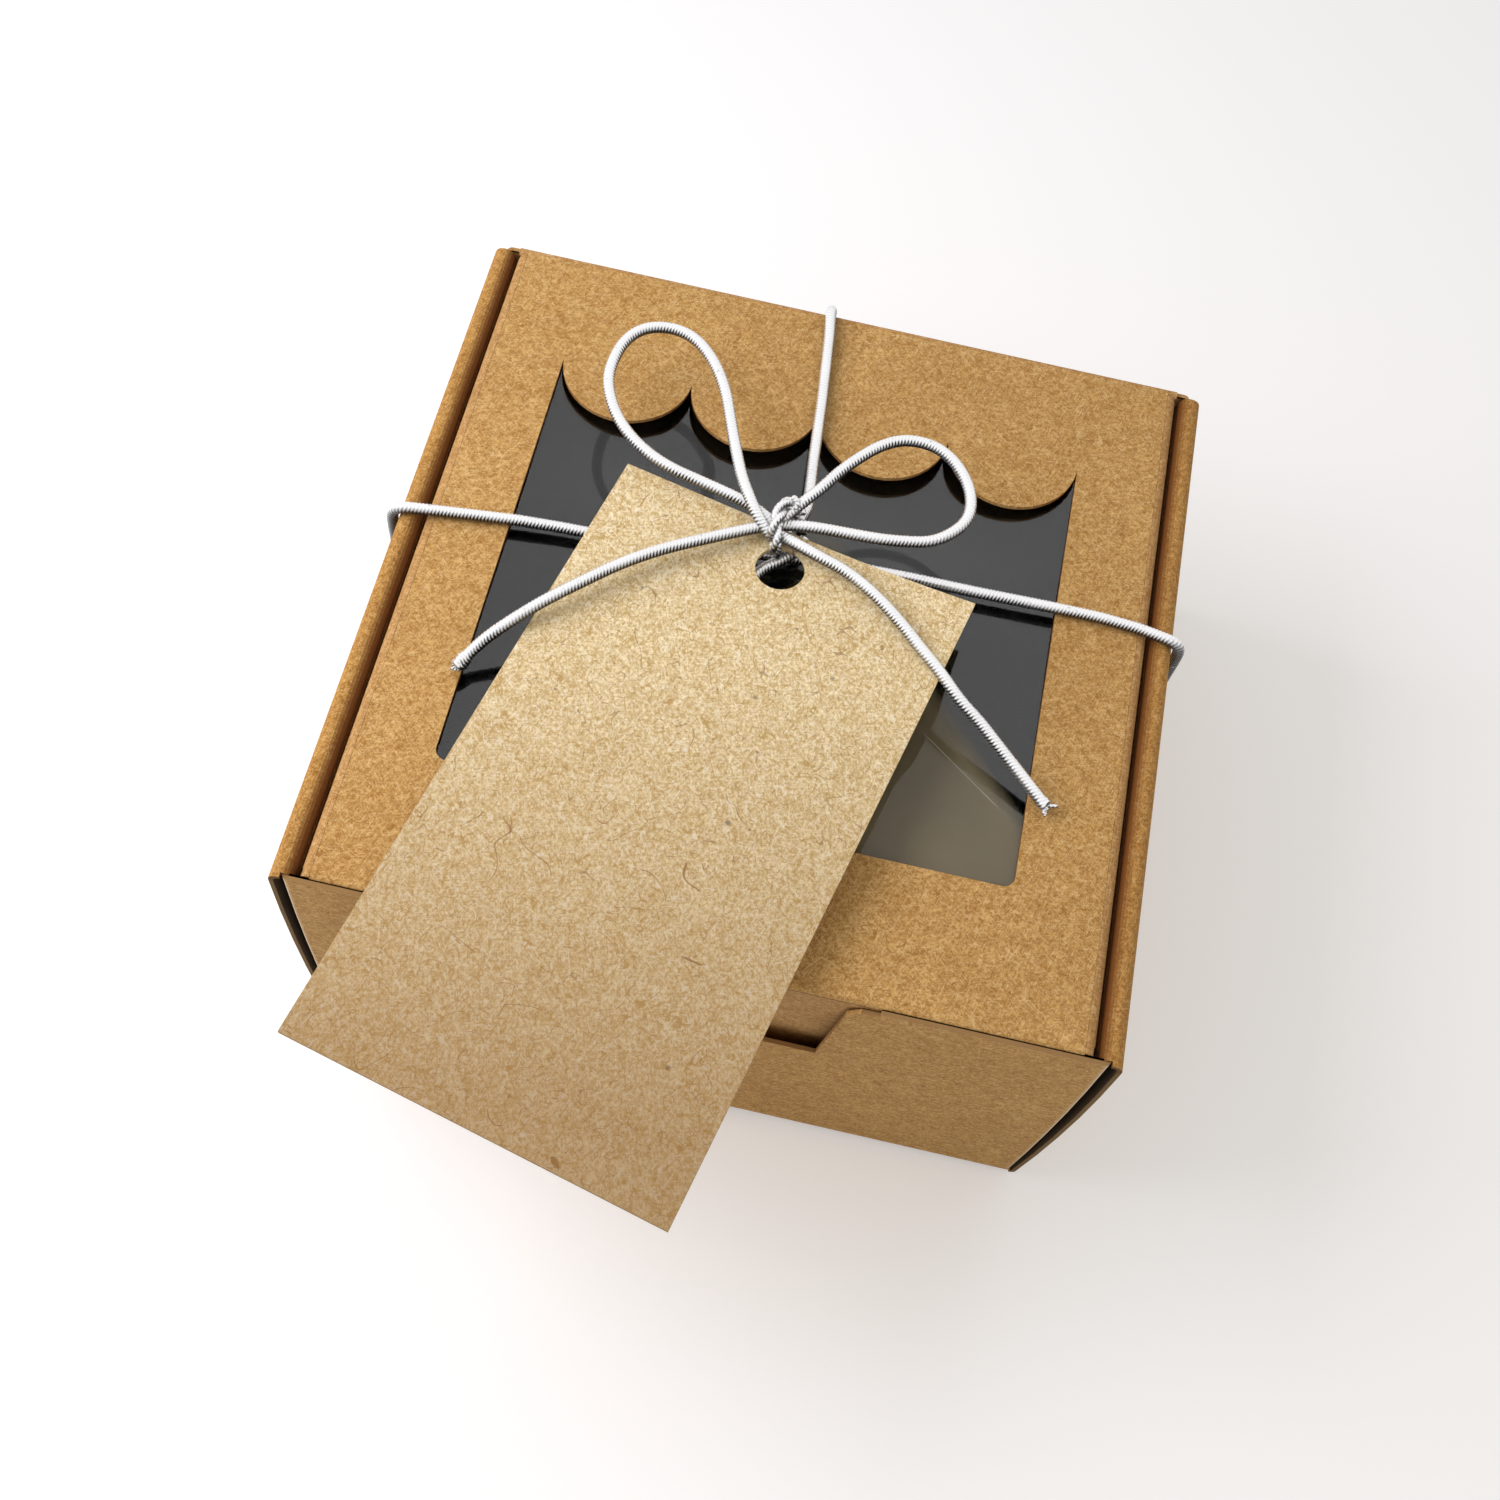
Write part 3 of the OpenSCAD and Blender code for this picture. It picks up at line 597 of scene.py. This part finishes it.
# painted reflection: in front of one slanting line the film is mixed with a matte brownish grey, and a thin
# pale line beside that is a painted reflection of the right tail
filmLook = {"clear": "#f4f5f4", "roughness": 0.035, "ior": 1.5,
            "paintedReflection": "#9a8e72", "share": 0.45, "paintedReflectionFrom": (17.0, -4.3), "paintedReflectionTo": (27.3, -16.5),
            "paintedReflectionEdge": (0.6, -1.2), "rightOf": (0, 8), "blotch": 9, "uneven": (0.3, 0.7, 0.8, 1.15),
            "crease": "#aaa59b", "creaseFrom": (16.5, -8.9), "creaseTo": (27.1, -17.3),
            "creaseWidth": (0.14, 0.056), "creaseShare": 0.7, "creaseStart": (-1, 1), "creaseEnd": (1, -4)}


def smoothStep(t):
    return t * t * (3 - 2 * t)


def windowFilm():
    s = filmSettings
    shape = bmesh.new()
    width, depth = s["right"] - s["left"], s["back"] - s["front"]
    middle = Vector(((s["left"] + s["right"]) / 2, (s["front"] + s["back"]) / 2, s["top"]))
    bmesh.ops.create_grid(shape, x_segments=s["cells"][0], y_segments=s["cells"][1], size=0.5)
    bmesh.ops.scale(shape, vec=(width * mm, depth * mm, 1), verts=shape.verts)
    bmesh.ops.translate(shape, vec=middle * mm, verts=shape.verts)
    for vert in shape.verts:
        x, y = vert.co.x / mm, vert.co.y / mm
        fromSide = min(x - s["left"], s["right"] - x)
        fromEdge = min(fromSide, y - s["front"], s["back"] - y)
        free = max(0, min(1, (fromEdge - s["margin"]) / s["ease"]))
        away = min(1, abs(y - s["crestY"]) / s["spread"])
        sag = s["crest"] + (s["sag"] - s["crest"]) * smoothStep(away) * min(1, fromSide / s["reach"])
        wave = s["wave"] * noise.noise(Vector((x / s["waveSize"][0], y / s["waveSize"][1], s["waveSeed"])))
        vert.co.z -= (s["glue"] + smoothStep(free) * (sag + wave)) * mm
    bmesh.ops.recalc_face_normals(shape, faces=shape.faces)
    bmesh.ops.solidify(shape, geom=shape.faces[:], thickness=s["thickness"] * mm)
    return shape


def clearFilm():
    look = filmLook
    material, tree = newMaterial("clearFilm")
    place = addNode(tree, "TexCoord").outputs["Object"]
    clear = addNode(tree, "BsdfPrincipled", inputs={
        "Base Color": colour(look["clear"]), "IOR": look["ior"], "Roughness": look["roughness"],
        "Transmission Weight": 1})
    # painted reflection: a matte brownish-grey patch in front of the slanting line, on the right of the film
    # only
    byLine = alongLine(tree, place, look["paintedReflectionFrom"], look["paintedReflectionTo"])[0]
    inner, outer = (edge * mm for edge in look["paintedReflectionEdge"])
    paintedReflection = addNode(tree, "MapRange", inputs=(byLine.outputs[1], inner, outer, 0, look["share"]))
    blotch = addNode(tree, "TexNoise", inputs={"Vector": place, "Detail": 1,
                                               "Scale": 1000 / look["blotch"]})
    uneven = addNode(tree, "MapRange", inputs=(blotch, *look["uneven"]))
    at = addNode(tree, "SeparateXYZ", inputs=(place,))
    none, full = (x * mm for x in look["rightOf"])
    rightOf = addNode(tree, "MapRange", inputs=(at, none, full))
    for part in (uneven, rightOf):
        paintedReflection = addNode(tree, "Math", times, (paintedReflection, part))
    # painted reflection of the right tail: a thin pale line
    byTailReflection, creaseLength = alongLine(tree, place, look["creaseFrom"], look["creaseTo"])
    aside = addNode(tree, "Math", unsigned, (byTailReflection.outputs[1],))
    outside, core = (width * mm for width in look["creaseWidth"])
    crease = addNode(tree, "MapRange", inputs=(aside, outside, core, 0, look["creaseShare"]))
    for base, (before, after) in ((0, look["creaseStart"]), (creaseLength, look["creaseEnd"])):
        part = addNode(tree, "MapRange", inputs=(byTailReflection, base + before * mm, base + after * mm))
        crease = addNode(tree, "Math", times, (crease, part))
    share = addNode(tree, "Math", larger, (paintedReflection, crease))
    paintedReflectionTone = layered(tree, look["paintedReflection"], [(crease, look["crease"])])
    paintedReflectionSurface = addNode(tree, "BsdfDiffuse", inputs={"Color": paintedReflectionTone})
    finishMaterial(tree, addNode(tree, "MixShader", inputs=(share, clear, paintedReflectionSurface)))
    return material


pieceFromMesh("windowFilm", windowFilm(), clearFilm(), "lid", ("window_film",))
print("film hung")


# foam pad: open-cell black polyether, so it swallows light and shows only its pores
foamSettings = {"halfX": 36.1, "front": -38.55, "back": 38.45, "low": 0.55, "high": 34.6, "stepY": -33.3,
                "stepZ": 16, "edge": 0.9, "longest": 8, "cuts": 9, "dentSize": 4, "dent": 0.06}
foamLook = {"hollow": "#0b0b0b", "skin": "#121213", "pore": 0.9, "poreDepth": (0, 0.6), "bump": 0.35,
            "relief": 0.08, "roughness": 0.95, "gloss": 0.1}


def foamPad():
    s = foamSettings
    shape = bmesh.new()
    bmesh.ops.create_cube(shape, size=1)
    size = Vector((2 * s["halfX"], s["back"] - s["front"], s["stepZ"] - s["low"]))
    middle = Vector((0, (s["back"] + s["front"]) / 2, (s["stepZ"] + s["low"]) / 2))
    bmesh.ops.scale(shape, vec=size * mm, verts=shape.verts)
    bmesh.ops.translate(shape, vec=middle * mm, verts=shape.verts)
    whole = shape.verts[:] + shape.edges[:] + shape.faces[:]
    bmesh.ops.bisect_plane(shape, geom=whole, plane_co=(0, s["stepY"] * mm, 0), plane_no=(0, 1, 0))
    upper = [f for f in shape.faces if f.normal.z > 0.9 and f.calc_center_median().y > s["stepY"] * mm]
    raised = bmesh.ops.extrude_face_region(shape, geom=upper)
    top = [v for v in raised["geom"] if isinstance(v, bmesh.types.BMVert)]
    bmesh.ops.translate(shape, vec=(0, 0, (s["high"] - s["stepZ"]) * mm), verts=top)
    bmesh.ops.delete(shape, geom=upper, context="FACES")
    sharp = [e for e in shape.edges if e.calc_face_angle(0) > 0.5]
    bmesh.ops.bevel(shape, geom=sharp, offset=s["edge"] * mm, segments=3, profile=0.5,
                    affect="EDGES", material=-1)
    bmesh.ops.triangulate(shape, faces=[f for f in shape.faces if len(f.verts) > 4])
    tooLong = [e for e in shape.edges if e.calc_length() > s["longest"] * mm]
    bmesh.ops.subdivide_edges(shape, edges=tooLong, cuts=s["cuts"], use_grid_fill=True)
    for vert in shape.verts:
        vert.co += Vector(noise.noise_vector(vert.co / (s["dentSize"] * mm))) * s["dent"] * mm
    bmesh.ops.recalc_face_normals(shape, faces=shape.faces)
    return shape


def blackFoam():
    look = foamLook
    material, tree = newMaterial("openCellFoam")
    place = addNode(tree, "TexCoord").outputs["Object"]
    pores = addNode(tree, "TexVoronoi", inputs={"Vector": place, "Scale": 1000 / look["pore"]})
    depth = addNode(tree, "MapRange", inputs=(pores.outputs["Distance"], *look["poreDepth"]))
    # painted shade: the pore hollows are tinted a little darker than the skin round them
    tone = layered(tree, look["hollow"], [(depth, look["skin"])])
    finishMatte(tree, look, tone, depth)
    return material


pad = pieceFromMesh("foamPad", foamPad(), blackFoam(), "carton", ("foam_pad",))
print("foam laid in")


# gift tag: recycled kraft card, uncalendered, so long fibres, flecks and specks show on both faces
tagSettings = {"thickness": 0.5, "length": 68, "width": 38.2, "cells": (38, 68), "hole": 5, "holeIn": 4.4,
               "cleared": 3.2, "rim": 4.3, "apart": 2, "cornerLift": 1.25, "liftAcross": 2, "liftAlong": 3,
               "bellied": 0.3,
               "corners": {"backLeft": (-18.4, 11.29, 41.31), "backRight": (18.86, 2.74, 41.65),
                           "frontLeft": (-34, -53.83, 38.9), "frontRight": (2.99, -63.39, 40.1)}}


def flatTag():
    # a sheet about its hole, whose ring of faces is bridged to the grid round it
    s = tagSettings
    shape = bmesh.new()
    bmesh.ops.create_grid(shape, x_segments=s["cells"][0], y_segments=s["cells"][1], size=0.5)
    bmesh.ops.scale(shape, vec=(s["width"] * mm, s["length"] * mm, 1), verts=shape.verts)
    bmesh.ops.translate(shape, vec=(0, (s["holeIn"] - s["length"] / 2) * mm, 0), verts=shape.verts)
    near = [f for f in shape.faces if max(abs(c) for c in f.calc_center_median()[:2]) < s["cleared"] * mm]
    bmesh.ops.delete(shape, geom=near, context="FACES")
    rim = [e for e in shape.edges
           if e.is_boundary and max(abs(c) for v in e.verts for c in v.co[:2]) < s["rim"] * mm]
    ring = bmesh.ops.create_circle(shape, radius=s["hole"] / 2 * mm, segments=len(rim))["verts"]
    # two loops in one plane would be bridged askew
    bmesh.ops.translate(shape, vec=(0, 0, s["apart"] * mm), verts=ring)
    bmesh.ops.bridge_loops(shape, edges=rim + [e for e in shape.edges if e.verts[0] in ring])
    bmesh.ops.translate(shape, vec=(0, 0, -s["apart"] * mm), verts=ring)
    bmesh.ops.recalc_face_normals(shape, faces=shape.faces)
    bmesh.ops.translate(shape, vec=(0, 0, -s["thickness"] / 2 * mm), verts=shape.verts)
    bmesh.ops.solidify(shape, geom=shape.faces[:], thickness=s["thickness"] * mm)
    middle = sum(v.co.z for v in shape.verts) / len(shape.verts)
    bmesh.ops.translate(shape, vec=(0, 0, -middle), verts=shape.verts)
    return shape


def tagCard():
    # the flat card is laid between its four corners, with the back right one curling up
    s = tagSettings
    shape = flatTag()
    corners = {name: Vector(at) * mm for name, at in s["corners"].items()}
    for vert in shape.verts:
        u = vert.co.x / (s["width"] * mm) + 0.5
        v = (s["holeIn"] * mm - vert.co.y) / (s["length"] * mm)
        back = corners["backLeft"].lerp(corners["backRight"], u)
        front = corners["frontLeft"].lerp(corners["frontRight"], u)
        lift = max(0, s["liftAcross"] * u - 1) ** 2 * max(0, 1 - s["liftAlong"] * v) ** 2
        curl = s["cornerLift"] * lift + s["bellied"] * math.sin(math.pi * v) * (1 - v)
        vert.co = back.lerp(front, v) + Vector((0, 0, vert.co.z + curl * mm))
    bmesh.ops.recalc_face_normals(shape, faces=shape.faces)
    return shape


# a spot is a tint, a spacing, a radius as a share of that, and how rare it is
tagLook = {
    "tone": "#fae7b8", "dark": "#bb985a", "pale": "#fbf0d4", "fibre": "#8a6034", "speck": "#5c5a5c",
    "fleck": "#f8f1e0", "paintedEndShadeTint": "#8c6538", "grain": 0.8, "shares": (0.32,),
    "blotches": [(0.36, 3, 0.7, 0.37, 0.63), (1.6, 2, 0.6, 0.38, 0.68)],
    "fibres": [((0, 0, 15), 1.0, 0.15), ((0, 0, -40), 0.9, 0.14), ((0, 0, 70), 1.0, 0.15),
               ((0, 0, 110), 0.8, 0.14)],
    "apart": (0.011, 0.017, 0.002), "bent": 0.8, "fade": 0.14, "fibreShare": 0.55,
    "curls": [(0.9, 0.035, 0.48, 0.8, "dark"), (0.9, 0.035, 0.5, 0.6, "pale"),
              (1.9, 0.014, 0.58, 0.6, "fibre"), (5.2, 0.0055, 0.64, 0.8, "fibre")],
    "spots": [("speck", 3.4, 0.1, 0.93), ("fleck", 2.7, 0.12, 0.86), ("fibre", 2.1, 0.09, 0.9)],
    "spotShare": 0.75, "spotCore": 0.5, "paintedEndShade": (-8, -56), "paintedEndShadeShare": 0.66,
    "roughness": 0.88, "gloss": 0.25, "bump": 0.6, "relief": 0.04}


def recycledCard():
    look = tagLook
    material, tree = newMaterial("recycledKraftCard")
    place = addNode(tree, "TexCoord").outputs["Object"]
    layers, grit = pulpLayers(tree, place, look, look)
    for tint, spacing, radius, rare in look["spots"]:
        cells = addNode(tree, "TexVoronoi", inputs={"Vector": place, "Scale": 1000 / spacing})
        dot = addNode(tree, "MapRange", inputs=(cells.outputs["Distance"], radius, radius * look["spotCore"],
                                                0, look["spotShare"]))
        pick = addNode(tree, "SeparateColor", inputs=(cells.outputs["Color"],))
        kept = addNode(tree, "Math", {"operation": "GREATER_THAN"}, (pick, rare))
        layers.append((addNode(tree, "Math", times, (dot, kept)), look[tint]))
    # painted shade: the card is tinted darker towards its free end
    at = addNode(tree, "SeparateXYZ", inputs=(place,))
    start, end = (y * mm for y in look["paintedEndShade"])
    paintedEndShade = addNode(tree, "MapRange", inputs=(at.outputs[1], start, end, 0, look["paintedEndShadeShare"]))
    layers.append((paintedEndShade, look["paintedEndShadeTint"]))
    finishMatte(tree, look, layered(tree, look["tone"], layers), grit)
    return material


tag = pieceFromMesh("giftTag", tagCard(), recycledCard(), "tag", ("gift_tag",))
for face in tag.data.polygons:
    face.use_smooth = False
print("tag cut")


# pale floor and soft light
stageSettings = {"floorZ": -1.0, "floorSize": 6, "albedo": "#e9e9e9", "glow": 0.28, "worldLight": 0.5,
                 "white": (1, 1, 1, 1), "lampAim": (0, 0, 0.03)}


def seenShare(tree):
    # 1 where the camera, a gloss or the film shows the ground, and 0 where it only gives light
    rays = addNode(tree, "LightPath")
    seen = rays.outputs["Is Camera Ray"]
    for kind in ("Is Glossy Ray", "Is Transmission Ray"):
        seen = addNode(tree, "Math", larger, (seen, rays.outputs[kind])).outputs[0]
    return seen


def paleFloor():
    s = stageSettings
    shape = bmesh.new()
    bmesh.ops.create_grid(shape, x_segments=2, y_segments=2, size=s["floorSize"] / 2)
    bmesh.ops.translate(shape, vec=(0, 0, s["floorZ"] * mm), verts=shape.verts)
    material, tree = newMaterial("paleFloor")
    matte = addNode(tree, "BsdfDiffuse", inputs={"Color": colour(s["albedo"])})
    lift = addNode(tree, "Math", times, (seenShare(tree), s["glow"]))
    glow = addNode(tree, "Emission", inputs={"Color": s["white"], "Strength": lift})
    finishMaterial(tree, addNode(tree, "AddShader", inputs=(matte, glow)))
    mesh = bpy.data.meshes.new("floor")
    shape.to_mesh(mesh)
    shape.free()
    mesh.materials.append(material)
    floor = bpy.data.objects.new("floor", mesh)
    bpy.context.collection.objects.link(floor)


def whiteWorld():
    world = bpy.data.worlds.new("studio")
    bpy.context.scene.world = world
    world.use_nodes = True
    tree = world.node_tree
    tree.nodes.clear()
    strength = addNode(tree, "MapRange", inputs=(seenShare(tree), 0, 1, stageSettings["worldLight"], 1))
    sky = addNode(tree, "Background", inputs={"Color": stageSettings["white"], "Strength": strength})
    addNode(tree, "OutputWorld", inputs={"Surface": sky})


paleFloor()
whiteWorld()

lampSettings = [
    {"name": "softKey", "place": (-0.19, -0.015, 0.185), "size": 0.19, "power": 0.52, "tint": "#faf8ff"},
    {"name": "softFill", "place": (0.25, -0.2, 0.45), "size": 0.4, "power": 0.27, "tint": "#ffdba4"}]
for one in lampSettings:
    lampData = bpy.data.lights.new(one["name"], "AREA")
    lampData.size = one["size"]
    lampData.energy = one["power"]
    lampData.color = colour(one["tint"])[:3]
    lamp = bpy.data.objects.new(one["name"], lampData)
    lamp.location = one["place"]
    towards = Vector(stageSettings["lampAim"]) - lamp.location
    lamp.rotation_euler = towards.to_track_quat("-Z", "Y").to_euler()
    lamp.visible_glossy = False  # the film would show it as a bright patch
    bpy.context.collection.objects.link(lamp)
print("light set")
